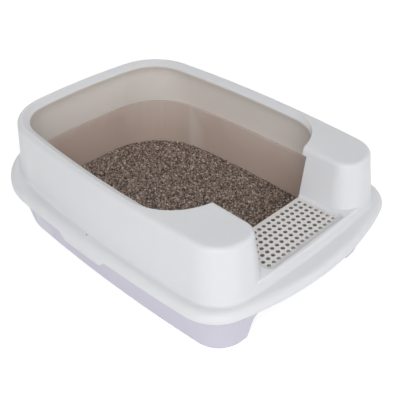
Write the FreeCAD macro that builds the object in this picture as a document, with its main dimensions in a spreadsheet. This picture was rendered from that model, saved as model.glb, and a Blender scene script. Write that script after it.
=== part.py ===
import FreeCAD, Part

import math
import os

import Sketcher
from FreeCAD import Vector

# Litter tray: a base with two front feet, a lift-out pan, a deep surround that snaps over both,
# a perforated step plate in the surround's low entry, and the litter in the pan.
# Millimetres, +Z up. The entry faces -Y. The origin is the middle of the footprint, on the ground.

doc = FreeCAD.newDocument("litter_tray")
sheet = doc.addObject("Spreadsheet::Sheet", "sizes")

SIZES = [
    # Surround, skirt round the foot: the widest outline, which the rest is set in from
    ("skirt_half", 202),
    ("skirt_front", 270.5),
    ("skirt_back", 270.5),
    ("skirt_front_corner", 58),
    ("skirt_rear_corner", 137),
    ("skirt_widest", 14),
    ("skirt_side_bow", 2500),
    ("skirt_front_bulge", 43.6),
    ("skirt_edge", 77.5),
    ("skirt_round", 10),
    ("shell", 3),
    ("tab_drop", 10.5),
    ("tab_from", -40),
    ("tab_to", 36),
    ("tab_ramp", 10),
    ("tab_round", 6),
    # Surround, walls: from the valley inside the skirt they lean in to the top
    ("valley_height", 90),
    ("ledge_side", 19),
    ("ledge_front", 29),
    ("ledge_back", 20.5),
    ("side_lean", 10),
    ("front_lean", 12),
    ("back_lean", 4),
    ("top_height", 170),
    ("top_front_corner", 42),
    ("top_rear_corner", 82),
    ("front_corner_growth", 8),
    ("rear_corner_growth", 18),
    ("top_widest", -22),
    ("side_bow", 1850),
    ("front_bow", 1600),
    ("back_bow", 900),
    ("top_round", 7),
    ("drain_bore", 3),
    ("cove_round", 5),
    ("drain_inset", 5.5),
    # Surround, sloping rim and the opening above the pan
    ("rim_drop", 7),
    ("rim_width", 10.5),
    ("rim_land", 7.5),
    ("rim_trim", 0.5),
    ("opening_front", 153.9),
    ("opening_front_corner", 70),
    ("opening_front_bow", 450),
    ("opening_low_front_bow", 2500),
    ("opening_low_front_corner", 65),
    ("opening_lip", 12),
    ("doorway_inset", 1.7),
    # Surround, entry between the two columns
    ("column_width", 83),
    ("entry_lean", 9.8),
    ("column_top_round", 26),
    ("column_foot_round", 33),
    ("notch_back", 120),
    ("sill_rise", 13),
    ("sill_width", 5.7),
    ("sill_outer_round", 2.8),
    ("sill_inner_round", 2.5),
    ("sill_set_back", 0.05),
    # Step plate and its seat
    ("plate_rise", 4.6),
    ("plate_fall", 2.9),
    ("plate_length", 71.1),
    ("plate_inset", 5.7),
    ("plate_thick", 3),
    ("plate_gap", 0.3),
    ("plate_ledge", 5),
    ("recess_apron", 1.6),
    ("recess_corner", 9),
    ("recess_round", 5),
    ("hole_pitch", 9.8),
    ("hole_bore", 6),
    ("hole_front_margin", 3.5),
    ("hole_side_margin", 5.5),
    ("hole_rows", 7),
    # Base
    ("seat_gap", 0.3),
    ("base_wall", 3),
    ("skirt_clearance", 4.5),
    ("skirt_front_clearance", 12.5),
    ("base_top_front_corner", 58),
    ("base_top_rear_corner", 134),
    ("base_top_front_bulge", 27.6),
    ("base_side_lean", 23.5),
    ("base_front_lean", 25.5),
    ("base_back_lean", 23),
    ("foot_front_corner", 42),
    ("foot_rear_corner", 84),
    ("foot_front_bow", 3000),
    ("foot_round", 6),
    ("foot_inner_round", 4),
    ("foot_width", 59),
    ("toe_height", 56),
    ("toe_round", 14),
    ("partition_gap", 0.4),
    # Pan
    ("pan_wall", 2.4),
    ("pan_clear", 0.4),
    ("pan_flange_width", 19.5),
    ("pan_flange_back_width", 18),
    ("pan_rim_set_back", 5.9),
    ("pan_rim_front_corner", 50),
    ("pan_rim_rear_corner", 92),
    ("pan_front_bow", 2500),
    ("pan_rear_corner_growth", 2),
    ("pan_lean", 13),
    ("pan_flange", 2.4),
    ("pan_flange_inset", 1),
    ("pan_flange_corner", 12),
    ("pan_foot_round", 6),
    ("pan_lip_half", 46),
    ("pan_lip_rise", 2),
    ("pan_lip_round", 2),
    ("pan_lip_inset", 0.6),
    # Litter
    ("litter_gap", 0.3),
    ("litter_level", 19.6),
    ("litter_mound", 3),
    ("litter_mound_inset", 22),
]

for row, (alias, value) in enumerate(SIZES, start=1):
    sheet.set("A%d" % row, alias.replace("_", " "))
    sheet.set("B%d" % row, str(value))
    sheet.setAlias("B%d" % row, alias)
doc.recompute()

X_AXIS = Vector(1, 0, 0)
UP = Vector(0, 0, 1)


def number(text):
    """The value of an expression on the sheet's sizes."""
    return float(sheet.evalExpression(text))


def size(alias):
    return "sizes." + alias


def new_body(name):
    return doc.addObject("PartDesign::Body", name)


def new_sketch(body, name, role, offset=None):
    """A sketch on one of the body's own planes, lifted off it by an expression."""
    sketch = body.newObject("Sketcher::SketchObject", name)
    plane = [feature for feature in body.Origin.OriginFeatures if feature.Role == role][0]
    sketch.AttachmentSupport = (plane, [""])
    sketch.MapMode = "FlatFace"
    if offset is not None:
        sketch.setExpression("AttachmentOffset.Base.z", offset)
    return sketch


def bind(sketch, kind, *where_and_text):
    """Adds a dimension whose value is an expression. A negative distance is measured the other way."""
    where = list(where_and_text[:-1])
    text = where_and_text[-1]
    value = number(text)
    if value < 0:
        where = where[2:] + where[:2]
        text = "-(%s)" % text
    index = sketch.addConstraint(Sketcher.Constraint(kind, *where, abs(value)))
    sketch.setExpression("Constraints[%d]" % index, text)


def place_point(sketch, element, point, x_text, y_text):
    """Puts a point of an element at given distances from the sketch's origin."""
    if x_text is None:
        sketch.addConstraint(Sketcher.Constraint("PointOnObject", element, point, -2))
    else:
        bind(sketch, "DistanceX", -1, 1, element, point, x_text)
    if y_text is not None:
        bind(sketch, "DistanceY", -1, 1, element, point, y_text)


def meet(first, first_reach, second, second_reach, pick):
    """The point at two given distances from two centres, chosen by pick."""
    apart = second - first
    span = apart.Length
    along = (first_reach ** 2 - second_reach ** 2 + span ** 2) / (2 * span)
    across = math.sqrt(first_reach ** 2 - along ** 2)
    unit = apart * (1 / span)
    foot = first + unit * along
    side = Vector(-unit.y, unit.x, 0) * across
    return max((foot + side, foot - side), key=pick)


def bearing(centre, point):
    return math.atan2(point.y - centre.y, point.x - centre.x)


class Outline:
    """A bowed front, back and two sides joined by round corners, all arcs tangent to each other."""

    NAMES = ("half", "front", "back", "front_corner", "rear_corner", "side_bow", "front_bow", "back_bow")

    def __init__(self, widest, **texts):
        self.widest = widest
        self.texts = texts

    def inset(self, text):
        """The same outline drawn inward by a distance, arc by arc about the same centres."""
        drawn_in = {name: "(%s - %s)" % (self.texts[name], text) for name in self.NAMES}
        return Outline(self.widest, **drawn_in)

    def solve(self):
        """Works out the arc centres on the right-hand side."""
        value = {name: number(self.texts[name]) for name in self.NAMES}
        side = Vector(value["half"] - value["side_bow"], number(self.widest), 0)
        front = Vector(0, value["front_bow"] - value["front"], 0)
        back = Vector(0, value["back"] - value["back_bow"], 0)
        round_front, round_rear = value["front_corner"], value["rear_corner"]
        front_corner = meet(side, value["side_bow"] - round_front, front, value["front_bow"] - round_front,
                            lambda point: point.x - point.y)
        rear_corner = meet(side, value["side_bow"] - round_rear, back, value["back_bow"] - round_rear,
                           lambda point: point.x + point.y)
        return value, side, front, back, front_corner, rear_corner

    def draw(self, sketch, entry=None):
        """Draws the outline. An entry (half width, corner radius, depth) cuts a notch into the front."""
        value, side, front, back, front_corner, rear_corner = self.solve()
        text = self.texts
        side_x = "%s - %s" % (text["half"], text["side_bow"])
        front_y = "%s - %s" % (text["front_bow"], text["front"])
        back_y = "%s - %s" % (text["back"], text["back_bow"])
        left = lambda point: Vector(-point.x, point.y, 0)
        arcs = []

        def add(name, centre, start, end, x_text=None, y_text=None, fixed=True):
            arcs.append((name, centre, start, end, x_text, y_text, fixed))

        if entry:
            entry_half, entry_round, notch = entry
            half, radius = number(entry_half), number(entry_round)
            reach = value["front_bow"] - radius
            notch_corner = Vector(half + radius, front.y - math.sqrt(reach ** 2 - (half + radius) ** 2), 0)
            add("entry_round", notch_corner, math.pi, bearing(front, notch_corner), fixed=False)
            front_start = bearing(front, notch_corner)
        else:
            front_start = bearing(front, left(front_corner))
        add("front_bow", front, front_start, bearing(front, front_corner), None, front_y)
        add("front_corner", front_corner, bearing(front, front_corner), bearing(side, front_corner), fixed=False)
        add("side_bow", side, bearing(side, front_corner), bearing(side, rear_corner), side_x, self.widest)
        add("rear_corner", rear_corner, bearing(side, rear_corner), bearing(back, rear_corner), fixed=False)
        add("back_bow", back, bearing(back, rear_corner), bearing(back, left(rear_corner)), None, back_y)
        add("rear_corner", left(rear_corner), bearing(back, left(rear_corner)),
            bearing(left(side), left(rear_corner)), fixed=False)
        add("side_bow", left(side), bearing(left(side), left(rear_corner)),
            bearing(left(side), left(front_corner)), "-(%s)" % side_x, self.widest)
        add("front_corner", left(front_corner), bearing(left(side), left(front_corner)),
            bearing(front, left(front_corner)), fixed=False)
        if entry:
            add("front_bow", front, bearing(front, left(front_corner)), bearing(front, left(notch_corner)),
                None, front_y)
            add("entry_round", left(notch_corner), bearing(front, left(notch_corner)), 2 * math.pi, fixed=False)

        radii = dict(text)
        if entry:
            radii["entry_round"] = entry_round
        for name, centre, start, end, x_text, y_text, fixed in arcs:
            end = end if end > start else end + 2 * math.pi
            circle = Part.Circle(centre, UP, number(radii[name]))
            sketch.addGeometry(Part.ArcOfCircle(circle, start, end), False)
        count = len(arcs)
        for index in range(count - 1):
            sketch.addConstraint(Sketcher.Constraint("Tangent", index, 2, index + 1, 1))
        if entry:
            corner_y = notch_corner.y
            depth = -number(notch)
            points = [Vector(-half, corner_y, 0), Vector(-half, depth, 0), Vector(half, depth, 0),
                      Vector(half, corner_y, 0)]
            for start, end in zip(points, points[1:]):
                sketch.addGeometry(Part.LineSegment(start, end), False)
            sketch.addConstraint(Sketcher.Constraint("Tangent", count - 1, 2, count, 1))
            sketch.addConstraint(Sketcher.Constraint("Coincident", count, 2, count + 1, 1))
            sketch.addConstraint(Sketcher.Constraint("Coincident", count + 1, 2, count + 2, 1))
            sketch.addConstraint(Sketcher.Constraint("Tangent", count + 2, 2, 0, 1))
            sketch.addConstraint(Sketcher.Constraint("Vertical", count))
            sketch.addConstraint(Sketcher.Constraint("Vertical", count + 2))
            sketch.addConstraint(Sketcher.Constraint("Horizontal", count + 1))
            place_point(sketch, count + 1, 1, "-(%s)" % entry_half, "-(%s)" % notch)
            bind(sketch, "DistanceX", -1, 1, count + 1, 2, entry_half)
        else:
            sketch.addConstraint(Sketcher.Constraint("Tangent", count - 1, 2, 0, 1))
        for index, (name, centre, start, end, x_text, y_text, fixed) in enumerate(arcs):
            bind(sketch, "Radius", index, radii[name])
            if fixed:
                place_point(sketch, index, 3, x_text, y_text)


def section(body, name, outline, height, entry=None):
    sketch = new_sketch(body, name, "XY_Plane", height)
    outline.draw(sketch, entry)
    return sketch


def loft(body, name, sections):
    feature = body.newObject("PartDesign::AdditiveLoft", name)
    feature.Profile = sections[0]
    feature.Sections = sections[1:]
    feature.Ruled = True
    doc.recompute()
    return feature


def loft_body(name, levels):
    """A body that runs straight between outlines, given as (outline, height, entry or None)."""
    body = new_body(name)
    sections = []
    for index, (outline, height, entry) in enumerate(levels):
        sections.append(section(body, "%s_section_%d" % (name, index), outline, height, entry))
    loft(body, name + "_loft", sections)
    return body


def prism(name, outline, low, tall):
    """A straight-sided body on an outline, from the height low and as tall as given."""
    body = new_body(name)
    sketch = section(body, name + "_outline", outline, low)
    pad = body.newObject("PartDesign::Pad", name + "_pad")
    pad.Profile = sketch
    pad.setExpression("Length", tall)
    doc.recompute()
    return body


def edges_where(shape, test):
    """Names of the edges whose ends and middle all pass the test."""
    names = []
    for index, edge in enumerate(shape.Edges, start=1):
        middle = edge.valueAt((edge.FirstParameter + edge.LastParameter) / 2)
        points = [vertex.Point for vertex in edge.Vertexes] + [middle]
        if all(test(point) for point in points):
            names.append("Edge%d" % index)
    return names


def round_edges(body, name, radius, test):
    """Rounds the edges of a body's tip that pass the test."""
    tip = body.Tip
    fillet = body.newObject("PartDesign::Fillet", name)
    fillet.Base = (tip, edges_where(tip.Shape, test))
    fillet.setExpression("Radius", radius)
    doc.recompute()
    return fillet


def at_height(text):
    level = number(text)
    return lambda point: abs(point.z - level) < 0.01


def combine(kind, name, first, second):
    feature = doc.addObject("Part::" + kind, name)
    feature.Base = first
    feature.Tool = second
    doc.recompute()
    return feature


def profile_body(name, points, low, high, rounds=None):
    """A closed profile in the YZ plane, pushed along X from low to high. Points are (y, z) expressions.
    A round is given as point number: radius expression."""
    body = new_body(name)
    sketch = new_sketch(body, name + "_profile", "YZ_Plane", low)
    corners = [Vector(number(y), number(z), 0) for y, z in points]
    for start, end in zip(corners, corners[1:] + corners[:1]):
        sketch.addGeometry(Part.LineSegment(start, end), False)
    count = len(corners)
    for index in range(count):
        sketch.addConstraint(Sketcher.Constraint("Coincident", index, 2, (index + 1) % count, 1))
    for index, (y, z) in enumerate(points):
        place_point(sketch, index, 1, y, z)
    pad = body.newObject("PartDesign::Pad", name + "_pad")
    pad.Profile = sketch
    pad.setExpression("Length", "%s - (%s)" % (high, low))
    doc.recompute()
    return body


# Lengths that follow from the sizes

VALLEY_HALF = "(sizes.skirt_half - sizes.ledge_side)"
VALLEY_FRONT = "(sizes.skirt_front - sizes.ledge_front)"
VALLEY_BACK = "(sizes.skirt_back - sizes.ledge_back)"
TOP_HALF = "(%s - sizes.side_lean)" % VALLEY_HALF
TOP_FRONT = "(%s - sizes.front_lean)" % VALLEY_FRONT
TOP_BACK = "(%s - sizes.back_lean)" % VALLEY_BACK
ENTRY_TOP_HALF = "(%s - sizes.column_width)" % TOP_HALF
ENTRY_SILL_HALF = "(%s - sizes.entry_lean)" % ENTRY_TOP_HALF
PLATE_HALF = "(%s - sizes.plate_inset)" % ENTRY_SILL_HALF
RIM_INSET = "(sizes.rim_land + sizes.rim_width)"
BASE_HEIGHT = "(sizes.valley_height - sizes.shell - sizes.seat_gap - sizes.pan_flange)"
BASE_TOP_HALF = "(sizes.skirt_half - sizes.shell - sizes.skirt_clearance)"
FOOT_HALF = "(%s - sizes.base_side_lean)" % BASE_TOP_HALF
BASE_TOP_FRONT = "(sizes.skirt_front - sizes.shell - sizes.skirt_front_clearance)"
BASE_TOP_BACK = "(sizes.skirt_back - sizes.shell - sizes.skirt_clearance)"
PARTITION_BACK = "(sizes.opening_front - sizes.partition_gap)"
PLATE_FRONT = "(sizes.opening_front + sizes.plate_length)"
PAN_FOOT = "(sizes.base_wall + sizes.pan_clear)"
PAN_FLOOR = "(sizes.base_wall + sizes.pan_clear + sizes.pan_wall)"
PAN_TOP = "(%s + sizes.pan_flange)" % BASE_HEIGHT
PAN_RIM_FRONT = "(sizes.opening_front - sizes.pan_rim_set_back)"
SILL_HEIGHT = "(sizes.valley_height + sizes.sill_rise)"
WALL_JOIN = "(%s - sizes.sill_outer_round - 0.3)" % SILL_HEIGHT
UNDER_TOP = "(sizes.top_height - sizes.shell)"
UNDER_VALLEY = "(sizes.valley_height - sizes.shell - 1)"



def bow_radius(half, bulge):
    """The radius of a bow that stands out by bulge over a half width."""
    return "((%s ^ 2 + %s ^ 2) / (2 * %s))" % (half, bulge, bulge)


SKIRT_FRONT_BOW = bow_radius("sizes.skirt_half", "sizes.skirt_front_bulge")
BASE_TOP_FRONT_BOW = bow_radius(BASE_TOP_HALF, "sizes.base_top_front_bulge")

# Outlines


def wall_outline(height):
    """The surround's wall at a height: it leans out evenly from the top to the valley."""
    share = "((sizes.top_height - %s) / (sizes.top_height - sizes.valley_height))" % height
    return Outline(
        size("top_widest"),
        half="(%s + sizes.side_lean * %s)" % (TOP_HALF, share),
        front="(%s + sizes.front_lean * %s)" % (TOP_FRONT, share),
        back="(%s + sizes.back_lean * %s)" % (TOP_BACK, share),
        front_corner="(sizes.top_front_corner + sizes.front_corner_growth * %s)" % share,
        rear_corner="(sizes.top_rear_corner + sizes.rear_corner_growth * %s)" % share,
        side_bow=size("side_bow"),
        front_bow=size("front_bow"),
        back_bow=size("back_bow"))


def entry_notch(height, extra="0"):
    """The notch between the columns at a height, with the column walls made thicker by extra."""
    share = "((sizes.top_height - %s) / (sizes.top_height - %s))" % (height, SILL_HEIGHT)
    half = "(%s - sizes.entry_lean * %s + %s)" % (ENTRY_TOP_HALF, share, extra)
    radius = "(sizes.column_top_round + (sizes.column_foot_round - sizes.column_top_round) * %s - %s)" % (
        share, extra)
    return half, radius, "sizes.notch_back - %s" % extra


skirt = Outline(
    size("skirt_widest"),
    half=size("skirt_half"),
    front=size("skirt_front"),
    back=size("skirt_back"),
    front_corner=size("skirt_front_corner"),
    rear_corner=size("skirt_rear_corner"),
    side_bow=size("skirt_side_bow"),
    front_bow=SKIRT_FRONT_BOW,
    back_bow=size("back_bow"))

opening = Outline(
    size("top_widest"),
    half="(%s - %s)" % (TOP_HALF, RIM_INSET),
    front=size("opening_front"),
    back="(%s - %s)" % (TOP_BACK, RIM_INSET),
    front_corner=size("opening_front_corner"),
    rear_corner="(sizes.top_rear_corner - %s)" % RIM_INSET,
    side_bow=size("side_bow"),
    front_bow=size("opening_front_bow"),
    back_bow=size("back_bow"))

opening_low = Outline(
    size("top_widest"),
    half="(%s - %s)" % (TOP_HALF, RIM_INSET),
    front=size("opening_front"),
    back="(%s - %s)" % (TOP_BACK, RIM_INSET),
    front_corner=size("opening_low_front_corner"),
    rear_corner="(sizes.top_rear_corner - %s)" % RIM_INSET,
    side_bow=size("side_bow"),
    front_bow=size("opening_low_front_bow"),
    back_bow=size("back_bow"))

rim_edge = Outline(
    size("top_widest"),
    half="(%s - sizes.rim_land)" % TOP_HALF,
    front="(sizes.opening_front - sizes.rim_trim - 0.5)",
    back="(%s - sizes.rim_land)" % TOP_BACK,
    front_corner="(sizes.opening_front_corner + sizes.rim_width)",
    rear_corner="(sizes.top_rear_corner - sizes.rim_land)",
    side_bow=size("side_bow"),
    front_bow="(sizes.opening_front_bow - sizes.rim_trim)",
    back_bow=size("back_bow"))

base_top = Outline(
    size("skirt_widest"),
    half=BASE_TOP_HALF,
    front=BASE_TOP_FRONT,
    back=BASE_TOP_BACK,
    front_corner=size("base_top_front_corner"),
    rear_corner=size("base_top_rear_corner"),
    side_bow=size("skirt_side_bow"),
    front_bow=BASE_TOP_FRONT_BOW,
    back_bow=size("back_bow"))

foot = Outline(
    size("skirt_widest"),
    half=FOOT_HALF,
    front="(%s - sizes.base_front_lean)" % BASE_TOP_FRONT,
    back="(%s - sizes.base_back_lean)" % BASE_TOP_BACK,
    front_corner=size("foot_front_corner"),
    rear_corner=size("foot_rear_corner"),
    side_bow=size("skirt_side_bow"),
    front_bow=size("foot_front_bow"),
    back_bow=size("back_bow"))

pan_rim = Outline(
    size("top_widest"),
    half="(%s - sizes.pan_flange_width)" % BASE_TOP_HALF,
    front=PAN_RIM_FRONT,
    back="(%s - sizes.pan_flange_back_width)" % BASE_TOP_BACK,
    front_corner=size("pan_rim_front_corner"),
    rear_corner=size("pan_rim_rear_corner"),
    side_bow=size("side_bow"),
    front_bow=size("pan_front_bow"),
    back_bow=size("back_bow"))

pan_flange = Outline(
    size("skirt_widest"),
    half="(%s - sizes.pan_flange_inset)" % BASE_TOP_HALF,
    front="(%s + sizes.base_wall)" % PARTITION_BACK,
    back="(%s - sizes.pan_flange_inset)" % BASE_TOP_BACK,
    front_corner=size("pan_flange_corner"),
    rear_corner="(sizes.base_top_rear_corner - sizes.pan_flange_inset)",
    side_bow=size("skirt_side_bow"),
    front_bow=size("pan_front_bow"),
    back_bow=size("back_bow"))


def rounded(name, source, radius, test):
    """The source's shape with the edges that pass the test rounded. The rounding of a notched loft comes
    out inside out, so the shell is set right before it is used."""
    chosen = [source.Shape.getElement(edge) for edge in edges_where(source.Shape, test)]
    shape = source.Shape.makeFillet(number(radius), chosen)
    shape.fix(1e-4, 1e-4, 1e-3)
    feature = doc.addObject("Part::Feature", name)
    feature.Shape = shape
    return feature


def box_between(name, low, high):
    """A box between two corners, each three expressions."""
    box = doc.addObject("Part::Box", name)
    for side, axis, start, end in zip(("Length", "Width", "Height"), "xyz", low, high):
        box.setExpression(side, "%s - (%s)" % (end, start))
        box.setExpression("Placement.Base.%s" % axis, start)
    doc.recompute()
    return box


def chain(kind, name, first, others):
    """Combines a first shape with several others, one after another."""
    result = first
    for index, other in enumerate(others, start=1):
        last = index == len(others)
        result = combine(kind, name if last else "%s_step_%d" % (name, index), result, other)
    return result


# Surround

FAR = "(sizes.skirt_back + 30)"
PLATE_REAR = "-sizes.opening_front"
PLATE_SLOPE = "(sizes.plate_fall / sizes.plate_length)"


def plate_height(y, below="0"):
    """Height of the step plate's top at a y, less a depth."""
    return "(sizes.valley_height + sizes.plate_rise + (%s - (%s)) * %s - %s)" % (
        PLATE_REAR, y, PLATE_SLOPE, below)


def skirt_form(name, inset, top, bottom, radius):
    body = prism(name, skirt.inset(inset), bottom, "%s - (%s)" % (top, bottom))
    round_edges(body, name + "_rounding", radius, at_height(top))
    return body


def step_recess(name, grown):
    """The space over the step, with its walls and floor moved out by a thickness."""
    sill_front = "(%s + sizes.front_lean * (sizes.top_height - %s) / (sizes.top_height - sizes.valley_height))" % (
        TOP_FRONT, SILL_HEIGHT)
    half = "(%s + %s)" % (ENTRY_SILL_HALF, grown)
    rear = "-(sizes.notch_back - %s)" % grown
    front = "-(%s + sizes.plate_gap + sizes.recess_apron + %s)" % (PLATE_FRONT, grown)
    top = "(%s + sizes.shell)" % SILL_HEIGHT
    slope_run = "(%s - sizes.sill_width + %s + (%s))" % (sill_front, grown, front)
    slope_rise = "(%s - %s)" % (SILL_HEIGHT, plate_height(front, grown))
    sill_back = "(%s - %s * (%s - %s) / %s)" % (front, slope_run, top, plate_height(front, grown), slope_rise)
    points = [
        (rear, top),
        (rear, plate_height(rear, grown)),
        (front, plate_height(front, grown)),
        (sill_back, top)]
    body = profile_body(name, points, "-" + half, half)
    front_at = number(front) + 0.5
    side_at = number(half) - 0.01
    round_edges(body, name + "_corners", "sizes.recess_corner + %s" % grown,
                lambda point: point.y < front_at and abs(point.x) > side_at)
    floor_at = number(plate_height(front, grown))
    slope = number(PLATE_SLOPE)
    rear_at = number(rear)

    def on_floor(point):
        return abs(floor_at - (point.y - number(front)) * slope - point.z) < 0.05 and point.y < rear_at + 0.01

    round_edges(body, name + "_floor", "sizes.recess_round + %s" % grown,
                lambda point: on_floor(point) and not abs(point.y - rear_at) < 0.01 or
                on_floor(point) and abs(point.x) > side_at)
    return body


def plate_seat(name, grown, floor_grown):
    """The pocket that the step plate drops into."""
    half = "(%s + sizes.plate_gap + %s)" % (PLATE_HALF, grown)
    rear = "-(sizes.notch_back)"
    front = "-(%s + sizes.plate_gap + %s)" % (PLATE_FRONT, grown)
    points = [
        (rear, plate_height(rear, "-1")),
        (rear, plate_height(rear, floor_grown)),
        (front, plate_height(front, floor_grown)),
        (front, plate_height(front, "-1"))]
    return profile_body(name, points, "-" + half, half)


def notch_rear(point):
    return abs(point.y + number("sizes.notch_back")) < 0.01


at_top = at_height("sizes.top_height")

# Outer form
outer_skirt = skirt_form("skirt_outer", "0", "sizes.valley_height", "sizes.skirt_edge - sizes.tab_drop",
                         "sizes.skirt_round")
outer_foot = loft_body("wall_foot_outer", [
    (wall_outline("sizes.valley_height"), "sizes.valley_height", None),
    (wall_outline(WALL_JOIN), WALL_JOIN, None)])
outer_columns = loft_body("columns_outer", [
    (wall_outline(WALL_JOIN), WALL_JOIN, entry_notch(WALL_JOIN)),
    (wall_outline("sizes.top_height"), "sizes.top_height", entry_notch("sizes.top_height"))])
outer_columns = rounded("columns_rounded", outer_columns, "sizes.top_round", at_top)
above_valley = "(sizes.valley_height + 1)"
sill = rounded("sill", loft_body("sill_form", [
    (wall_outline(above_valley).inset("sizes.sill_set_back"), above_valley, None),
    (wall_outline(SILL_HEIGHT).inset("sizes.sill_set_back"), SILL_HEIGHT, None)]),
    "sizes.sill_outer_round", at_height(SILL_HEIGHT))
recess = step_recess("step_recess", "0")
seat = plate_seat("plate_seat", "0", "sizes.plate_thick")
rim_slope = loft_body("rim_slope", [
    (opening.inset("sizes.rim_trim"), "sizes.top_height - sizes.rim_drop", None),
    (rim_edge, "sizes.top_height", None)])
valley_level = at_height("sizes.valley_height")
skirt_and_foot = rounded(
    "wall_cove", combine("Fuse", "skirt_and_foot", outer_skirt, outer_foot), "sizes.cove_round",
    lambda point: valley_level(point) and abs(point.x) < number(VALLEY_HALF) + 0.1
    and number("-%s" % VALLEY_FRONT) - 0.1 < point.y < number(VALLEY_BACK) + 0.1)
foot_cut = chain("Cut", "wall_foot_cut", skirt_and_foot, [recess, seat])
sill_cut = chain("Cut", "sill_cut", sill, [recess, seat])
sill_level = at_height(SILL_HEIGHT)
sill_cut = rounded("sill_rounded", sill_cut, "sizes.sill_inner_round",
                   lambda point: sill_level(point) and abs(point.x) < number(ENTRY_SILL_HALF) + 0.1
                   and point.y < number("-sizes.notch_back") - 0.1)
columns_cut = combine("Cut", "columns_cut", outer_columns, rim_slope)
outer = chain("Fuse", "surround_outer", foot_cut, [sill_cut, columns_cut])

# Inner form, drawn in by the thickness of the shell
inner_skirt = skirt_form("skirt_inner", "sizes.shell", "sizes.valley_height - sizes.shell",
                         "sizes.skirt_edge - 2 * sizes.tab_drop", "sizes.skirt_round - sizes.shell")
inner_foot = loft_body("wall_foot_inner", [
    (wall_outline(UNDER_VALLEY).inset("sizes.shell"), UNDER_VALLEY, None),
    (wall_outline(WALL_JOIN).inset("sizes.shell"), WALL_JOIN, None)])
inner_columns = loft_body("columns_inner", [
    (wall_outline(WALL_JOIN).inset("sizes.shell"), WALL_JOIN, entry_notch(WALL_JOIN, "sizes.shell")),
    (wall_outline(UNDER_TOP).inset("sizes.shell"), UNDER_TOP, entry_notch(UNDER_TOP, "sizes.shell"))])
inner_columns = rounded("columns_inner_rounded", inner_columns, "sizes.top_round - sizes.shell",
                        at_height(UNDER_TOP))
recess_skin = step_recess("recess_skin", "sizes.shell")
seat_skin = plate_seat("seat_skin", "sizes.shell", "(sizes.plate_thick + sizes.shell)")
rim_underside = loft_body("rim_underside", [
    (opening.inset("sizes.rim_trim"), "sizes.top_height - sizes.rim_drop - sizes.shell", None),
    (rim_edge, UNDER_TOP, None)])
inner_foot_cut = chain("Cut", "inner_foot_cut", inner_foot, [recess_skin, seat_skin])
inner_columns_cut = combine("Cut", "inner_columns_cut", inner_columns, rim_underside)
inner = chain("Fuse", "surround_inner", inner_skirt, [inner_foot_cut, inner_columns_cut])

# The skirt's lower edge is straight, with a rounded tab on each side
below_tab = "(sizes.skirt_edge - 2 * sizes.tab_drop)"
tab_foot = "(sizes.skirt_edge - sizes.tab_drop)"
edge_cut = profile_body("skirt_edge_cut", [
    ("-" + FAR, below_tab),
    (FAR, below_tab),
    (FAR, "sizes.skirt_edge"),
    ("(sizes.tab_to + sizes.tab_ramp)", "sizes.skirt_edge"),
    ("sizes.tab_to", tab_foot),
    ("sizes.tab_from", tab_foot),
    ("(sizes.tab_from - sizes.tab_ramp)", "sizes.skirt_edge"),
    ("-" + FAR, "sizes.skirt_edge")], "-" + FAR, FAR)
tab_ends = [number(text) for text in ("sizes.tab_to + sizes.tab_ramp", "sizes.tab_to", "sizes.tab_from",
                                      "sizes.tab_from - sizes.tab_ramp")]
round_edges(edge_cut, "tab_rounding", "sizes.tab_round",
            lambda point: any(abs(point.y - end) < 0.01 for end in tab_ends))

opening_cut = prism("opening_cut", opening, "sizes.skirt_edge", "sizes.top_height - sizes.skirt_edge + 1")
opening_low_cut = prism("opening_low_cut", opening_low, "sizes.skirt_edge",
                        "sizes.top_height - sizes.opening_lip - sizes.skirt_edge")
doorway_half = "(%s - sizes.doorway_inset)" % ENTRY_SILL_HALF
doorway_cut = box_between(
    "doorway_cut",
    ("-" + doorway_half, "-sizes.opening_front", "sizes.skirt_edge"),
    (doorway_half, "-sizes.notch_back", "sizes.top_height"))
window_half = "(%s - sizes.plate_ledge)" % PLATE_HALF
window = box_between(
    "step_window",
    ("-" + window_half, "-(%s - sizes.plate_ledge)" % PLATE_FRONT, "sizes.skirt_edge"),
    (window_half, "-(sizes.opening_front + sizes.plate_ledge)", SILL_HEIGHT))
drains = []
for side, sign in (("left", "-"), ("right", "")):
    drain = doc.addObject("Part::Cylinder", "drain_" + side)
    drain.setExpression("Radius", "sizes.drain_bore / 2")
    drain.setExpression("Height", "sizes.tab_drop + sizes.shell")
    drain.setExpression("Placement.Base.x", "%s(%s + sizes.drain_inset)" % (sign, VALLEY_HALF))
    drain.setExpression("Placement.Base.z", "sizes.valley_height - sizes.tab_drop")
    drains.append(drain)
doc.recompute()
surround = chain("Cut", "surround", outer, [
    inner, opening_cut, opening_low_cut, doorway_cut, edge_cut, window] + drains)

# Base

base_outer = rounded("base_outer", loft_body("base_form", [
    (foot, "0", None),
    (base_top, BASE_HEIGHT, None)]), "sizes.foot_round", at_height("0"))
base_inner = rounded("base_inner", loft_body("base_hollow", [
    (foot.inset("sizes.base_wall"), "sizes.base_wall", None),
    (base_top.inset("sizes.base_wall"), BASE_HEIGHT, None)]),
    "sizes.foot_inner_round", at_height("sizes.base_wall"))


def toe_space(name, grown):
    """The recess between the two front feet."""
    half = "(%s - sizes.foot_width + %s)" % (FOOT_HALF, grown)
    box = box_between(
        name + "_box",
        ("-" + half, "-" + FAR, "-sizes.toe_round"),
        (half, "-(%s + sizes.base_wall - %s)" % (PARTITION_BACK, grown), "sizes.toe_height + %s" % grown))
    top = number("sizes.toe_height + %s" % grown)
    return rounded(name, box, "sizes.toe_round + %s" % grown,
                   lambda point: abs(point.z - top) < 0.01 and abs(abs(point.x) - number(half)) < 0.01)


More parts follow.
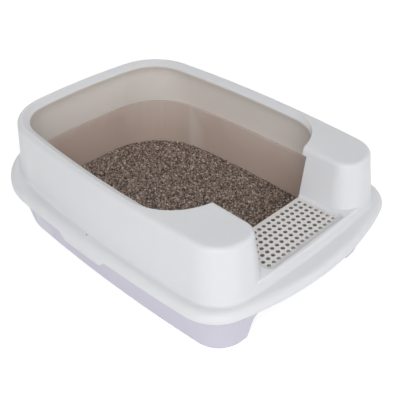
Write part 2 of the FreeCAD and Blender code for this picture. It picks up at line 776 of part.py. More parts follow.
toe = toe_space("toe_space", "0")
toe_skin = toe_space("toe_skin", "sizes.base_wall")
partition = box_between(
    "partition",
    ("-" + BASE_TOP_HALF, "-(%s + sizes.base_wall)" % PARTITION_BACK, "0"),
    (BASE_TOP_HALF, "-" + PARTITION_BACK, BASE_HEIGHT))
base_hollow = chain("Cut", "base_hollow_cut", base_inner, [toe_skin, partition])
base = chain("Cut", "base", base_outer, [toe, base_hollow])

# Pan


def pan_inside(height):
    """The pan's inner wall at a height."""
    share = "((%s - %s) / (%s - %s))" % (PAN_TOP, height, PAN_TOP, PAN_FLOOR)
    outline = pan_rim.inset("sizes.pan_lean * %s" % share)
    outline.texts["rear_corner"] = "(sizes.pan_rim_rear_corner + sizes.pan_rear_corner_growth * %s)" % share
    return outline


pan_outer = rounded("pan_outer", loft_body("pan_form", [
    (pan_inside(PAN_FLOOR).inset("-sizes.pan_wall"), PAN_FOOT, None),
    (pan_rim.inset("-sizes.pan_wall"), BASE_HEIGHT, None)]),
    "sizes.pan_foot_round", at_height(PAN_FOOT))
flange = prism("pan_flange_plate", pan_flange, BASE_HEIGHT, "sizes.pan_flange")
pan_inner = rounded("pan_inner", loft_body("pan_hollow", [
    (pan_inside(PAN_FLOOR), PAN_FLOOR, None),
    (pan_rim, PAN_TOP, None)]),
    "sizes.pan_foot_round - sizes.pan_wall", at_height(PAN_FLOOR))
lip_front = "-(%s - sizes.seat_gap)" % PARTITION_BACK
lip_box = box_between(
    "pan_lip_box",
    ("-sizes.pan_lip_half", lip_front, BASE_HEIGHT),
    ("sizes.pan_lip_half", "-(%s + sizes.pan_lip_inset)" % PAN_RIM_FRONT, PAN_TOP + " + sizes.pan_lip_rise"))
lip = rounded("pan_lip", lip_box, "sizes.pan_lip_round",
              lambda point: abs(abs(point.x) - number("sizes.pan_lip_half")) < 0.01
              and point.z > number(BASE_HEIGHT) + 0.1)
pan_full = chain("Fuse", "pan_full", pan_outer, [flange, lip])
pan = combine("Cut", "pan", pan_full, pan_inner)

# Step plate

plate = profile_body("step_grate", [
    (PLATE_REAR, plate_height(PLATE_REAR)),
    (PLATE_REAR, plate_height(PLATE_REAR, "sizes.plate_thick")),
    ("-" + PLATE_FRONT, plate_height("-" + PLATE_FRONT, "sizes.plate_thick")),
    ("-" + PLATE_FRONT, plate_height("-" + PLATE_FRONT))], "-" + PLATE_HALF, PLATE_HALF)
hole_row = new_sketch(plate, "hole_row", "XY_Plane", "sizes.top_height")
columns = int(number("2 * (%s - sizes.hole_side_margin) / sizes.hole_pitch" % PLATE_HALF)) + 1
for column in range(columns):
    offset = "%s * sizes.hole_pitch" % (column - (columns - 1) / 2)
    row_y = "-(%s - sizes.hole_front_margin)" % PLATE_FRONT
    hole = hole_row.addGeometry(
        Part.Circle(Vector(number(offset), number(row_y), 0), UP, number("sizes.hole_bore / 2")), False)
    bind(hole_row, "Radius", hole, "sizes.hole_bore / 2")
    place_point(hole_row, hole, 3, None if abs(number(offset)) < 0.001 else offset, row_y)
holes = plate.newObject("PartDesign::Pocket", "holes")
holes.Profile = hole_row
holes.Type = "ThroughAll"
doc.recompute()
rows = plate.newObject("PartDesign::LinearPattern", "hole_rows")
rows.Originals = [holes]
rows.Direction = (hole_row, ["V_Axis"])
rows.setExpression("Length", "sizes.hole_pitch * (sizes.hole_rows - 1)")
rows.setExpression("Occurrences", "sizes.hole_rows")
plate.Tip = rows
doc.recompute()

# Litter

LITTER_FOOT = "(%s + sizes.litter_gap)" % PAN_FLOOR
litter_low = rounded("litter_low", loft_body("litter_form", [
    (pan_inside(LITTER_FOOT).inset("sizes.litter_gap"), LITTER_FOOT, None),
    (pan_inside("sizes.litter_level").inset("sizes.litter_gap"), "sizes.litter_level", None)]),
    "sizes.pan_foot_round - sizes.pan_wall + 1", at_height(LITTER_FOOT))
litter_mound = loft_body("litter_heap", [
    (pan_inside("sizes.litter_level").inset("2 * sizes.litter_gap"), "sizes.litter_level", None),
    (pan_inside("sizes.litter_level").inset("sizes.litter_mound_inset"),
     "sizes.litter_level + sizes.litter_mound", None)])
litter = combine("Fuse", "litter_bed", litter_low, litter_mound)

# The pieces, each written to its own file

PIECES = {"base": base, "pan": pan, "surround": surround, "step_grate": plate, "litter_bed": litter}

for feature in doc.Objects:
    if "Invalid" in feature.State or "Error" in feature.State:
        raise RuntimeError("%s failed: %s" % (feature.Name, feature.State))
os.makedirs("parts", exist_ok=True)
for name, piece in PIECES.items():
    piece.Label = name
    shape = piece.Shape
    if shape.isNull() or not shape.isValid() or not shape.Solids:
        raise RuntimeError("%s has no valid solid" % name)
    shape.exportStep("parts/%s.step" % name)
    box = shape.BoundBox
    print("%s: %d solid, volume %.0f, x %.1f to %.1f, y %.1f to %.1f, z %.1f to %.1f" % (
        name, len(shape.Solids), shape.Volume, box.XMin, box.XMax, box.YMin, box.YMax, box.ZMin, box.ZMax))
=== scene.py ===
import math

import bmesh
import bpy
import numpy as np
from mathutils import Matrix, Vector
from mathutils.bvhtree import BVHTree


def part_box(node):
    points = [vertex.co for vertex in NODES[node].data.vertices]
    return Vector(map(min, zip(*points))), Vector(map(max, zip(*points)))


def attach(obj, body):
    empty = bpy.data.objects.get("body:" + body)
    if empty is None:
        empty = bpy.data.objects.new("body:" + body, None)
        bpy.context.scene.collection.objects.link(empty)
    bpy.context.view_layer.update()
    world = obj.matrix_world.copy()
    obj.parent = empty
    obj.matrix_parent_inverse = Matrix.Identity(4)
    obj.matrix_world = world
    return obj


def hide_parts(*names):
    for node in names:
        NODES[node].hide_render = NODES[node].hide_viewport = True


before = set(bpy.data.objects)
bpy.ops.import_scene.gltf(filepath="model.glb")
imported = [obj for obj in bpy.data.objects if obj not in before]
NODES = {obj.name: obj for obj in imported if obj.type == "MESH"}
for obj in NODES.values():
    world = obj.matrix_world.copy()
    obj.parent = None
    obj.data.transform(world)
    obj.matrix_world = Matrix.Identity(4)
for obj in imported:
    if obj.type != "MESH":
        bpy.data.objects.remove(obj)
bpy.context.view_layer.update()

# Camera: the photograph's, level, looking down on the near left corner. The image and focal length are in
# pixels, the sensor in millimetres, and the rest in metres and degrees
IMAGE = 400
FOCAL_PIXELS = 700
SENSOR = 36.0
CAMERA_TARGET = Vector((-0.0287, -0.0583, 0.0951))
CAMERA_DISTANCE = 1.0054
CAMERA_AZIMUTH = math.radians(-45.2)
CAMERA_ELEVATION = math.radians(36.4)
CLIP_START = 0.01

# Colours as they look, sRGB 0 to 1
SURROUND_COLOUR = (0.90, 0.903, 0.915)
# The inside colour is painted warm bounce light on the surround's inward faces
SURROUND_PAINTED_BOUNCE_COLOUR = (0.95, 0.93, 0.91)
BASE_COLOUR = (0.82, 0.81, 0.865)
PAN_COLOUR = (0.80, 0.725, 0.68)
GRATE_COLOUR = (0.88, 0.86, 0.845)
SCRATCH_COLOUR = (0.66, 0.64, 0.62)
WEAR_COLOUR = (0.95, 0.95, 0.95)
# The dust colour is litter dust and painted shade below the step plate
DUST_AND_SHADE_COLOUR = (0.36, 0.30, 0.26)
# The hole colour is painted shade in the step's holes, with some litter dust
HOLE_SHADE_COLOUR = (0.31, 0.27, 0.25)
GRANULE_COLOURS = ((0.0, (0.22, 0.18, 0.16)), (0.3, (0.435, 0.38, 0.345)), (0.62, (0.68, 0.61, 0.565)),
                   (0.86, (0.88, 0.82, 0.78)), (1.0, (0.99, 0.97, 0.94)))
FLOOR_COLOUR = (0.96, 0.96, 0.96)
WHITE = (1, 1, 1, 1)

# Moulded plastic: lengths in metres, scales per metre, and levels where a ramp starts and is full
SURROUND_ROUGHNESS = 0.38
BASE_ROUGHNESS = 0.45
PAN_ROUGHNESS = 0.6
GRATE_ROUGHNESS = 0.5
ROUGHNESS_VARIATION = 0.05
CLOUD_SCALE = 14.0
CLOUD_DETAIL = 3.0
CLOUD_VARIATION = 0.012
PEEL_SCALE = 900.0
PEEL_DETAIL = 2.0
PEEL_HEIGHT = 0.00006
PEEL_STRENGTH = 0.5
SCRATCH_SCALES = (40.0, 420.0, 60.0)
SCRATCH_DETAIL = 2.0
SCRATCH_LEVELS = (0.66, 0.74)
GRATE_SCUFFS = 0.25
WEAR_LEVELS = (0.53, 0.62)
WEAR_STRENGTH = 0.35
PLASTIC_IOR = 1.46
SURROUND_GLOW = 0.35
GLOW_DEPTH = 0.006
GLOW_RADII = (1.0, 0.85, 0.7)

# Litter dust and painted shade on the catch floor, inside the base, below the step plate
FACING_UP = (0.3, 0.7)
SPECK_SCALE = 480.0
SPECK_DETAIL = 2.0
SPECK_LEVELS = (0.36, 0.50)
CATCH_SIDE = 0.100
CATCH_SIDE_FADE = 0.045
CATCH_FRONT = -0.250
CATCH_FRONT_FADE = 0.035
CATCH_BACK = -0.150
CATCH_BACK_FADE = 0.020
CATCH_HEIGHTS = (0.052, 0.088)
CATCH_HEIGHT_FADE = 0.004

# Litter dust and painted shade on the step plate's seat, and painted shade with litter dust in its holes
SEAT_BELOW = 0.004
SEAT_ABOVE = 0.002
SEAT_HEIGHT_FADE = 0.001
SEAT_FADE = 0.0005
HOLE_UPRIGHT = 0.75
HOLE_UPRIGHT_FADE = 0.2
HOLE_EDGE = 0.003
HOLE_FADE = 0.0005

# Painted light on the surround's inside faces: a warm bounce, lighter than the outside. A place counts for
# less along the tray, which is longer than it is wide
INWARD_SHARES = (1.0, 0.8, 0.0)
INWARD_LEVELS = (-0.7, -0.85)
PAST_ENTRY = (-0.158, -0.148)

# Granules: a field of rounded grains side by side, and loose ones on it. Jitter is a share of the pitch,
# sink and stand are shares of a grain's radius, and the margin is in grains
LITTER_SEED = 11
GRAIN_PITCH = 0.0020
GRAIN_RADII = (0.00095, 0.0016)
GRAIN_JITTER = 0.42
GRAIN_SETTLE = 0.0007
GRAIN_SINK = 0.4
GRAIN_MARGIN = 3
GAP_DEPTH = 0.0016
FIELD_STEP = 0.00124
LOOSE_GRAINS = 900
LOOSE_ROOM = 0.003
LOOSE_STAND = 0.75
LOOSE_KNOCK = (0.75, 1.15)
LOOSE_FORM = (1.0, 0.9, 0.75)
UNDERSIDE_SHARE = 0.965
UNDERSIDE_LIFT = 0.003

# Tones run from 0, dark, to 1, nearly white. The shift takes back what the middling grit adds
TONE_MIDDLE = 0.43
TONE_SPREAD = 0.23
TONE_TOP = 0.85
BRIGHT_SHARE = 0.055
BRIGHT_TONES = (0.8, 1.0)
UNDERSIDE_TONE = 0.3
TONE_SHIFT = -0.295
GRIT_SCALE = 800.0
GRIT_DETAIL = 1.0
GRIT_SHARE = 0.55
GRANULE_ROUGHNESS = 0.85

# The litter's surface under its grains. The pan's wall leans in about 13 mm in 79 mm of height. The
# surface slumps from a share of the way out, and in the rear corners from a place across and along
PAN_WALL_SLOPE = 13 / 79
LEVEL_SHARE = 0.8
REACH_TURNS = 721
SURFACE_DEPTH = 0.0032
WAVE_SEED = 5
WAVES = 7
WAVE_SCALE = 9.0
WAVE_GROWTH = 1.35
WAVE_HEIGHT = 0.0012
SLUMP_START = 0.82
SLUMP_POWER = 1.5
SLUMP_DEPTH = 0.0026
CORNER_START = (0.06, 0.13)
CORNER_RUN = 0.09
CORNER_DEPTH = 0.0055

# Stage and lamps: each lamp's name, place, side in metres and power in watts
FLOOR_REACH = 6.0
FLOOR_ROUGHNESS = 0.9
FLOOR_LIFT = 0.52
WORLD_STRENGTH = 0.36
LAMP_TARGET = Vector((0, 0, 0.1))
LAMPS = (("key", (-1.7, -1.6, 0.9), 1.4, 17),
         ("fill", (1.5, -1.6, 1.2), 1.2, 7),
         ("top", (-1.3, -1.3, 1.9), 1.4, 16),
         ("back", (1.2, 2.2, 1.4), 1.4, 7))


# Shader nodes

def linear(colour):
    """An sRGB colour as the shader wants it."""
    channels = [c / 12.92 if c <= 0.04045 else ((c + 0.055) / 1.055) ** 2.4 for c in colour]
    return (*channels, 1.0)


def new_material(name):
    """A material, its nodes, their links and its shader."""
    material = bpy.data.materials.new(name)
    material.use_nodes = True
    nodes = material.node_tree.nodes
    shader = nodes["Principled BSDF"]
    return material, nodes, material.node_tree.links, shader


def feed(links, socket, value):
    """Links another node's output to a socket, or sets the socket to a plain value."""
    if isinstance(value, bpy.types.NodeSocket):
        links.new(value, socket)
    else:
        socket.default_value = value


def calculate(nodes, links, operation, *values, kind="ShaderNodeMath"):
    """The outputs of a math node, whose values are other nodes' outputs or plain."""
    node = nodes.new(kind)
    node.operation = operation
    for socket, value in zip(node.inputs, values):
        feed(links, socket, value)
    return node.outputs


def mix_colours(nodes, links, factor, first, second):
    """A colour mix. Each of first and second is a colour or another node's output."""
    mix = nodes.new("ShaderNodeMix")
    mix.data_type = "RGBA"
    links.new(factor, mix.inputs[0])
    feed(links, mix.inputs[6], first)
    feed(links, mix.inputs[7], second)
    return mix.outputs[2]


def remap(nodes, links, source, low, high, to_low=0.0, to_high=1.0):
    """A ramp from to_low, where the source is low, to to_high, where it is high, and level past them."""
    node = nodes.new("ShaderNodeMapRange")
    node.inputs["From Min"].default_value = low
    node.inputs["From Max"].default_value = high
    node.inputs["To Min"].default_value = to_low
    node.inputs["To Max"].default_value = to_high
    links.new(source, node.inputs["Value"])
    return node.outputs["Result"]


def noise(nodes, links, vector, scale, detail):
    """Soft noise about 0.5, with scale lumps to a unit of the vector."""
    node = nodes.new("ShaderNodeTexNoise")
    node.inputs["Scale"].default_value = scale
    node.inputs["Detail"].default_value = detail
    links.new(vector, node.inputs["Vector"])
    return node.outputs["Fac"]


def split(nodes, links, vector):
    """The X, Y and Z of another node's vector."""
    node = nodes.new("ShaderNodeSeparateXYZ")
    links.new(vector, node.inputs[0])
    return node.outputs


# Masks

def between(source, low, high, fade):
    """Two limits for all_of: full from low to high, less a fade at each end."""
    return (source, low, low + fade), (source, high, high - fade)


def all_of(nodes, links, limits):
    """The product of ramps, each given as a source, where it starts and where it is full."""
    total = None
    for source, start, full in limits:
        ramp = remap(nodes, links, source, start, full)
        total = ramp if total is None else calculate(nodes, links, "MULTIPLY", total, ramp)["Value"]
    return total


def place_and_facing(nodes, links):
    """The object's own coordinates, their axes and the axes of its own normal."""
    coordinates = nodes.new("ShaderNodeTexCoord").outputs
    place = coordinates["Object"]
    return place, split(nodes, links, place), split(nodes, links, coordinates["Normal"])


def catch_dust_and_shade_mask(nodes, links):
    """1 in specks of litter dust and painted shade on the floor below the step plate, thinning out where
    grains don't fall.
    """
    place, axes, facing = place_and_facing(nodes, links)
    specks = noise(nodes, links, place, SPECK_SCALE, SPECK_DETAIL)
    return all_of(nodes, links, ((specks, *SPECK_LEVELS),
                                 (facing["Z"], *FACING_UP),
                                 *between(axes["Z"], *CATCH_HEIGHTS, CATCH_HEIGHT_FADE),
                                 *between(axes["X"], -CATCH_SIDE, CATCH_SIDE, CATCH_SIDE_FADE),
                                 (axes["Y"], CATCH_FRONT, CATCH_FRONT + CATCH_FRONT_FADE),
                                 (axes["Y"], CATCH_BACK, CATCH_BACK - CATCH_BACK_FADE)))


def seat_dust_and_shade_mask(nodes, links):
    """1 on the seat that the step plate lies on, where its outer holes show litter dust and painted shade."""
    _, axes, facing = place_and_facing(nodes, links)
    low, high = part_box("step_grate")
    return all_of(nodes, links, (
        (facing["Z"], *FACING_UP),
        *between(axes["Z"], low[2] - SEAT_BELOW, low[2] + SEAT_ABOVE, SEAT_HEIGHT_FADE),
        *between(axes["X"], low[0] - SEAT_FADE, high[0] + SEAT_FADE, SEAT_FADE),
        *between(axes["Y"], low[1] - SEAT_FADE, high[1] + SEAT_FADE, SEAT_FADE)))


def hole_shade_mask(nodes, links):
    """1 on the upright walls of the step's holes, where shade is painted, 0 on its faces and its outer edge.
    """
    _, axes, facing = place_and_facing(nodes, links)
    low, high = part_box("step_grate")
    return all_of(nodes, links, (
        *between(facing["Z"], -HOLE_UPRIGHT, HOLE_UPRIGHT, HOLE_UPRIGHT_FADE),
        *between(axes["X"], low[0] + HOLE_EDGE, high[0] - HOLE_EDGE, HOLE_FADE),
        *between(axes["Y"], low[1] + HOLE_EDGE, high[1] - HOLE_EDGE, HOLE_FADE)))


def painted_bounce_mask(nodes, links):
    """1 on steep faces that look in at the middle of the tray, behind the entry, where warm bounce light is
    painted, 0 on the others.
    """
    coordinates = nodes.new("ShaderNodeTexCoord").outputs
    vector = "ShaderNodeVectorMath"
    flat = calculate(nodes, links, "MULTIPLY", coordinates["Object"], INWARD_SHARES, kind=vector)["Vector"]
    outward = calculate(nodes, links, "NORMALIZE", flat, kind=vector)["Vector"]
    facing = calculate(nodes, links, "DOT_PRODUCT", outward, coordinates["Normal"], kind=vector)["Value"]
    axes = split(nodes, links, coordinates["Object"])
    return all_of(nodes, links, ((facing, *INWARD_LEVELS), (axes["Y"], *PAST_ENTRY)))


# Materials

def scratches(nodes, links, place, strength):
    """Up to strength along fine light scratches, 0 between them."""
    stretch = nodes.new("ShaderNodeMapping")
    stretch.inputs["Scale"].default_value = SCRATCH_SCALES
    links.new(place, stretch.inputs["Vector"])
    lines = noise(nodes, links, stretch.outputs["Vector"], 1.0, SCRATCH_DETAIL)
    return remap(nodes, links, lines, *SCRATCH_LEVELS, 0.0, strength)


def moulded_plastic(name, colour, roughness, inside=None, scuffs=0.0, glow=0.0, dust_shade_mask=None, shaded_holes=False):
    """Injection-moulded plastic: an orange-peel grain, faint cloudiness in colour and gloss, rubbed edges.
    A second colour paints warm bounce light on faces that look in at the middle, above the pan. Scuffs are
    fine light scratches.
    Glow lets light through thin walls. The mask given as dusty paints litter dust and shade below the step
    plate.
    The holed switch paints shade, with some litter dust, on the walls of the step's holes."""
    material, nodes, links, shader = new_material(name)
    place = nodes.new("ShaderNodeTexCoord").outputs["Object"]
    cloud = noise(nodes, links, place, CLOUD_SCALE, CLOUD_DETAIL)
    base = linear(colour)
    darker = (*[c * (1 - CLOUD_VARIATION) for c in base[:3]], 1.0)
    lighter = (*[min(c * (1 + CLOUD_VARIATION), 1.0) for c in base[:3]], 1.0)
    tint = mix_colours(nodes, links, cloud, darker, lighter)
    # Painted warm bounce light on faces that look in at the middle
    if inside:
        tint = mix_colours(nodes, links, painted_bounce_mask(nodes, links), tint, linear(inside))
    if scuffs:
        tint = mix_colours(nodes, links, scratches(nodes, links, place, scuffs), tint, linear(SCRATCH_COLOUR))
    # Litter dust and painted shade below the step plate
    if dust_shade_mask:
        tint = mix_colours(nodes, links, dust_shade_mask(nodes, links), tint, linear(DUST_AND_SHADE_COLOUR))
    # Painted shade, with some litter dust, on the walls of the step's holes
    if shaded_holes:
        tint = mix_colours(nodes, links, hole_shade_mask(nodes, links), tint, linear(HOLE_SHADE_COLOUR))
    edges = nodes.new("ShaderNodeNewGeometry").outputs["Pointiness"]
    wear = remap(nodes, links, edges, *WEAR_LEVELS, 0.0, WEAR_STRENGTH)
    tint = mix_colours(nodes, links, wear, tint, linear(WEAR_COLOUR))
    links.new(tint, shader.inputs["Base Color"])
    smooth, rough = roughness - ROUGHNESS_VARIATION, roughness + ROUGHNESS_VARIATION
    links.new(remap(nodes, links, cloud, 0.0, 1.0, smooth, rough), shader.inputs["Roughness"])
    bump = nodes.new("ShaderNodeBump")
    bump.inputs["Distance"].default_value = PEEL_HEIGHT
    bump.inputs["Strength"].default_value = PEEL_STRENGTH
    links.new(noise(nodes, links, place, PEEL_SCALE, PEEL_DETAIL), bump.inputs["Height"])
    links.new(bump.outputs["Normal"], shader.inputs["Normal"])
    shader.inputs["IOR"].default_value = PLASTIC_IOR
    if glow:
        shader.inputs["Subsurface Weight"].default_value = glow
        shader.inputs["Subsurface Radius"].default_value = GLOW_RADII
        shader.inputs["Subsurface Scale"].default_value = GLOW_DEPTH
    return material


def granule_material():
    """Mineral granules: each grain has its own tone, from the mesh, with fine grit over it."""
    material, nodes, links, shader = new_material("litter_granules")
    place = nodes.new("ShaderNodeTexCoord").outputs["Object"]
    tone = nodes.new("ShaderNodeAttribute")
    tone.attribute_name = "tone"
    ramp = nodes.new("ShaderNodeValToRGB")
    stops = ramp.color_ramp.elements
    for at, _ in GRANULE_COLOURS[1:-1]:
        stops.new(at)
    for stop, (at, colour) in zip(stops, GRANULE_COLOURS):
        stop.position = at
        stop.color = linear(colour)
    grit = noise(nodes, links, place, GRIT_SCALE, GRIT_DETAIL)
    shifted = calculate(nodes, links, "ADD", tone.outputs["Fac"], TONE_SHIFT)["Value"]
    speckled = calculate(nodes, links, "MULTIPLY_ADD", grit, GRIT_SHARE, shifted)["Value"]
    links.new(speckled, ramp.inputs["Fac"])
    links.new(ramp.outputs["Color"], shader.inputs["Base Color"])
    shader.inputs["Roughness"].default_value = GRANULE_ROUGHNESS
    return material


def dress(node, material):
    """Gives a carried-over node its finished material."""
    mesh = NODES[node].data
    mesh.materials.clear()
    mesh.materials.append(material)


def dress_frame():
    """The mouldings' finishes."""
    dress("surround", moulded_plastic("surround_plastic", SURROUND_COLOUR, SURROUND_ROUGHNESS,
                                      inside=SURROUND_PAINTED_BOUNCE_COLOUR, glow=SURROUND_GLOW, dust_shade_mask=seat_dust_and_shade_mask))
    dress("base", moulded_plastic("base_plastic", BASE_COLOUR, BASE_ROUGHNESS, dust_shade_mask=catch_dust_and_shade_mask))
    dress("pan", moulded_plastic("pan_plastic", PAN_COLOUR, PAN_ROUGHNESS))
    dress("step_grate", moulded_plastic("grate_plastic", GRATE_COLOUR, GRATE_ROUGHNESS,
                                        scuffs=GRATE_SCUFFS, shaded_holes=True))


# Litter

class LitterShape:
    """The litter solid: how far it reaches from its middle in a direction, and how high its top is."""

    def __init__(self, node):
        low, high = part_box(node)
        self.middle = Vector(((low[0] + high[0]) / 2, (low[1] + high[1]) / 2, 0))
        self.low, self.high = low, high
        self.tree = BVHTree.FromObject(NODES[node], bpy.context.evaluated_depsgraph_get())
        self.level = low[2] + LEVEL_SHARE * (high[2] - low[2])
        self.turns = np.linspace(-math.pi, math.pi, REACH_TURNS)
        self.reach = np.array([self._reach(turn) for turn in self.turns])

    def _reach(self, turn):
        start = Vector((self.middle.x, self.middle.y, self.level))
        hit = self.tree.ray_cast(start, Vector((math.cos(turn), math.sin(turn), 0)))[0]
        return (hit - start).length

    def distance(self, x, y):
        """How far out from the middle a place is."""
        return np.hypot(x - self.middle.x, y - self.middle.y)

    def reach_at(self, x, y, z):
        """How far out the litter goes on the side of x and y, less where the pan's wall leans in below."""
        turn = np.arctan2(y - self.middle.y, x - self.middle.x)
        return np.interp(turn, self.turns, self.reach) - np.maximum(self.level - z, 0) * PAN_WALL_SLOPE


def litter_level(shape, x, y):
    """Height of the litter's surface under its grains: nearly level, slumped at the wall and rear corners."""
    waves = np.random.default_rng(WAVE_SEED)
    swell = np.zeros_like(x)
    for octave in range(WAVES):
        turn, phase = waves.uniform(0, 2 * math.pi, 2)
        along = (x * math.cos(turn) + y * math.sin(turn)) * WAVE_SCALE * WAVE_GROWTH ** octave
        swell += np.sin(along * 2 * math.pi + phase) / WAVES
    out = shape.distance(x, y) / shape.reach_at(x, y, shape.level)
    slump = np.clip((out - SLUMP_START) / (1 - SLUMP_START), 0, 1) ** SLUMP_POWER
    side = np.clip((np.abs(x) - CORNER_START[0]) / CORNER_RUN, 0, 1)
    rear = np.clip((y - CORNER_START[1]) / CORNER_RUN, 0, 1)
    top = shape.high[2] - SURFACE_DEPTH
    return top + WAVE_HEIGHT * swell - SLUMP_DEPTH * slump - CORNER_DEPTH * side * rear


def grain_tones(random, shape):
    """Most grains are middling, some dark, a few nearly white."""
    tones = np.clip(random.normal(TONE_MIDDLE, TONE_SPREAD, shape), 0.0, TONE_TOP)
    return np.where(random.random(shape) < BRIGHT_SHARE, random.uniform(*BRIGHT_TONES, shape), tones)


def grain_field(random, shape):
    """Heights and tones on a square grid where rounded grains lie side by side."""
    low, high = shape.low, shape.high
    across = np.arange(low[0] - FIELD_STEP, high[0] + 2 * FIELD_STEP, FIELD_STEP)
    along = np.arange(low[1] - FIELD_STEP, high[1] + 2 * FIELD_STEP, FIELD_STEP)
    x, y = np.meshgrid(across, along)
    ground = litter_level(shape, x, y)
    columns = int((high[0] - low[0]) / GRAIN_PITCH) + 2 * GRAIN_MARGIN
    rows = int((high[1] - low[1]) / GRAIN_PITCH) + 2 * GRAIN_MARGIN
    cells = (rows, columns)
    shift_x = random.uniform(-GRAIN_JITTER, GRAIN_JITTER, cells)
    shift_y = random.uniform(-GRAIN_JITTER, GRAIN_JITTER, cells)
    grain_x = low[0] + (np.arange(columns) - GRAIN_MARGIN + shift_x) * GRAIN_PITCH
    grain_y = low[1] + (np.arange(rows)[:, None] - GRAIN_MARGIN + shift_y) * GRAIN_PITCH
    radius = random.uniform(*GRAIN_RADII, cells)
    lift = random.uniform(-GRAIN_SETTLE, GRAIN_SETTLE, cells)
    tone = grain_tones(random, cells)
    cell_x = np.clip(((x - low[0]) / GRAIN_PITCH + GRAIN_MARGIN).astype(int), 1, columns - 2)
    cell_y = np.clip(((y - low[1]) / GRAIN_PITCH + GRAIN_MARGIN).astype(int), 1, rows - 2)
    best = np.full(x.shape, -np.inf)
    best_tone = np.zeros(x.shape)
    for step_x in (-1, 0, 1):
        for step_y in (-1, 0, 1):
            pick = (cell_y + step_y, cell_x + step_x)
            away = (x - grain_x[pick]) ** 2 + (y - grain_y[pick]) ** 2
            crown = lift[pick] + np.sqrt(np.maximum(radius[pick] ** 2 - away, 0)) - GRAIN_SINK * radius[pick]
            crown -= np.where(away > radius[pick] ** 2, GRAIN_PITCH, 0)
            nearer = crown > best
            best = np.where(nearer, crown, best)
            best_tone = np.where(nearer, tone[pick], best_tone)
    return x, y, ground + np.maximum(best, -GAP_DEPTH), best_tone


def field_faces(random, shape):
    """The grain field cut to the litter's outline: its points, tones and square faces."""
    x, y, z, tones = grain_field(random, shape)
    distance = shape.distance(x, y)
    reach = shape.reach_at(x, y, z)
    pull = reach / np.maximum(distance, reach)
    middle = shape.middle
    points = np.stack([middle.x + (x - middle.x) * pull, middle.y + (y - middle.y) * pull, z], -1)
    index = np.arange(x.size).reshape(x.shape)
    corners = np.stack([index[:-1, :-1], index[:-1, 1:], index[1:, 1:], index[1:, :-1]], -1)
    inside = distance <= reach
    kept = inside[:-1, :-1] | inside[:-1, 1:] | inside[1:, 1:] | inside[1:, :-1]
    used, faces = np.unique(corners[kept], return_inverse=True)
    return points.reshape(-1, 3)[used], tones.reshape(-1)[used], faces.reshape(-1, 4)


def underside(points, faces, shape):
    """A ring below the surface's edge, the faces down to it and one face that closes it."""
    edges = np.concatenate([faces[:, [corner, (corner + 1) % 4]] for corner in range(4)])
    _, first, uses = np.unique(np.sort(edges, 1), axis=0, return_index=True, return_counts=True)
    follow = {int(start): int(end) for start, end in edges[first[uses == 1]]}
    ring = [next(iter(follow))]
    while follow[ring[-1]] != ring[0]:
        ring.append(follow[ring[-1]])
    middle = np.array([shape.middle.x, shape.middle.y])
    lower = np.empty((len(ring), 3))
    lower[:, :2] = middle + (points[ring, :2] - middle) * UNDERSIDE_SHARE
    lower[:, 2] = shape.low[2] + UNDERSIDE_LIFT
    start = len(points)
    count = len(ring)
    sides = [(ring[(k + 1) % count], ring[k], start + k, start + (k + 1) % count) for k in range(count)]
    return lower, sides, tuple(range(start + count - 1, start - 1, -1))


def loose_grains(random, shape):
    """Single grains scattered on top, each a squashed, knocked-about polyhedron."""
    mesh = bmesh.new()
    bmesh.ops.create_icosphere(mesh, subdivisions=1, radius=1.0)
    form = np.array([vertex.co for vertex in mesh.verts])
    sides = np.array([[vertex.index for vertex in face.verts] for face in mesh.faces])
    mesh.free()
    x = random.uniform(shape.low[0], shape.high[0], LOOSE_GRAINS)
    y = random.uniform(shape.low[1], shape.high[1], LOOSE_GRAINS)
    ground = litter_level(shape, x, y)
    fits = shape.distance(x, y) < shape.reach_at(x, y, ground) - LOOSE_ROOM
    x, y, ground = x[fits], y[fits], ground[fits]
    radius = random.uniform(*GRAIN_RADII, (len(x), 1, 1))
    knock = random.uniform(*LOOSE_KNOCK, (len(x), len(form), 1)) * np.array(LOOSE_FORM)
    centres = np.stack([x, y, ground + LOOSE_STAND * radius[:, 0, 0]], -1)[:, None, :]
    points = (centres + form * knock * radius).reshape(-1, 3)
    faces = (np.arange(len(x))[:, None, None] * len(form) + sides).reshape(-1, 3)
    return points, np.repeat(grain_tones(random, len(x)), len(form)), faces


def build_litter():
    """The granules, in the place of the plain litter solid."""
    random = np.random.default_rng(LITTER_SEED)
    shape = LitterShape("litter_bed")
    points, tones, faces = field_faces(random, shape)
    lower, sides, bottom = underside(points, faces, shape)
    grains, grain_tone, grain_faces = loose_grains(random, shape)
    grain_faces = grain_faces + len(points) + len(lower)
    data = bpy.data.meshes.new("litter_granules")
    data.from_pydata(np.concatenate([points, lower, grains]).tolist(), [],
                     faces.tolist() + sides + [bottom] + grain_faces.tolist())
    lower_tone = np.full(len(lower), UNDERSIDE_TONE)
    tone = data.attributes.new("tone", "FLOAT", "POINT")
    tone.data.foreach_set("value", np.concatenate([tones, lower_tone, grain_tone]))
    data.materials.append(granule_material())
    litter = bpy.data.objects.new("litter_granules", data)
    bpy.context.scene.collection.objects.link(litter)
    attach(litter, "pan")
    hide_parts("litter_bed")


# Stage, lamps and camera

def aim(thing, target):
    """Turns a lamp or camera towards a place."""
    thing.rotation_euler = (target - thing.location).to_track_quat("-Z", "Y").to_euler()


def seen_ray(nodes, links):
    """1 for rays from the camera and for reflected and transmitted ones, 0 for those that light things."""
    path = nodes.new("ShaderNodeLightPath").outputs
    total = path["Is Camera Ray"]
    for name in ("Is Glossy Ray", "Is Transmission Ray"):
        total = calculate(nodes, links, "MAXIMUM", total, path[name])["Value"]
    return total


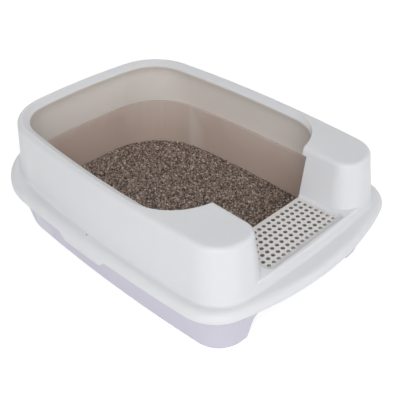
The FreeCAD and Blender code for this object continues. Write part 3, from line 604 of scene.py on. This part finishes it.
def add_floor():
    """A pale floor that keeps the object's shadow and looks nearly white."""
    mesh = bpy.data.meshes.new("floor")
    reach = FLOOR_REACH
    mesh.from_pydata([(-reach, -reach, 0), (reach, -reach, 0), (reach, reach, 0), (-reach, reach, 0)], [],
                     [(0, 1, 2, 3)])
    floor = bpy.data.objects.new("floor", mesh)
    bpy.context.scene.collection.objects.link(floor)
    material, nodes, links, shader = new_material("floor_paper")
    shader.inputs["Base Color"].default_value = linear(FLOOR_COLOUR)
    shader.inputs["Roughness"].default_value = FLOOR_ROUGHNESS
    shader.inputs["Emission Color"].default_value = WHITE
    seen = seen_ray(nodes, links)
    links.new(remap(nodes, links, seen, 0.0, 1.0, 0.0, FLOOR_LIFT), shader.inputs["Emission Strength"])
    mesh.materials.append(material)


def add_lamp(name, place, size, power):
    """A square soft lamp, turned towards the object."""
    data = bpy.data.lights.new(name, "AREA")
    data.shape = "SQUARE"
    data.size = size
    data.energy = power
    lamp = bpy.data.objects.new(name, data)
    lamp.location = place
    bpy.context.scene.collection.objects.link(lamp)
    aim(lamp, LAMP_TARGET)


def light_world():
    """An even white world, full white where it is seen and weaker where it lights things."""
    world = bpy.data.worlds.new("studio")
    bpy.context.scene.world = world
    world.use_nodes = True
    nodes, links = world.node_tree.nodes, world.node_tree.links
    background = nodes["Background"]
    background.inputs["Color"].default_value = WHITE
    links.new(remap(nodes, links, seen_ray(nodes, links), 0.0, 1.0, WORLD_STRENGTH, 1.0),
              background.inputs["Strength"])


def add_camera():
    """The photograph's view of the object."""
    camera = bpy.data.objects.new("camera", bpy.data.cameras.new("camera"))
    bpy.context.scene.collection.objects.link(camera)
    camera.data.sensor_width = SENSOR
    camera.data.lens = FOCAL_PIXELS / IMAGE * SENSOR
    camera.data.clip_start = CLIP_START
    away = Vector((math.sin(CAMERA_AZIMUTH) * math.cos(CAMERA_ELEVATION),
                   -math.cos(CAMERA_AZIMUTH) * math.cos(CAMERA_ELEVATION),
                   math.sin(CAMERA_ELEVATION)))
    camera.location = CAMERA_TARGET + away * CAMERA_DISTANCE
    aim(camera, CAMERA_TARGET)
    bpy.context.scene.camera = camera
    bpy.context.scene.view_settings.view_transform = "Standard"


add_camera()
dress_frame()
build_litter()
add_floor()
light_world()
for lamp in LAMPS:
    add_lamp(*lamp)
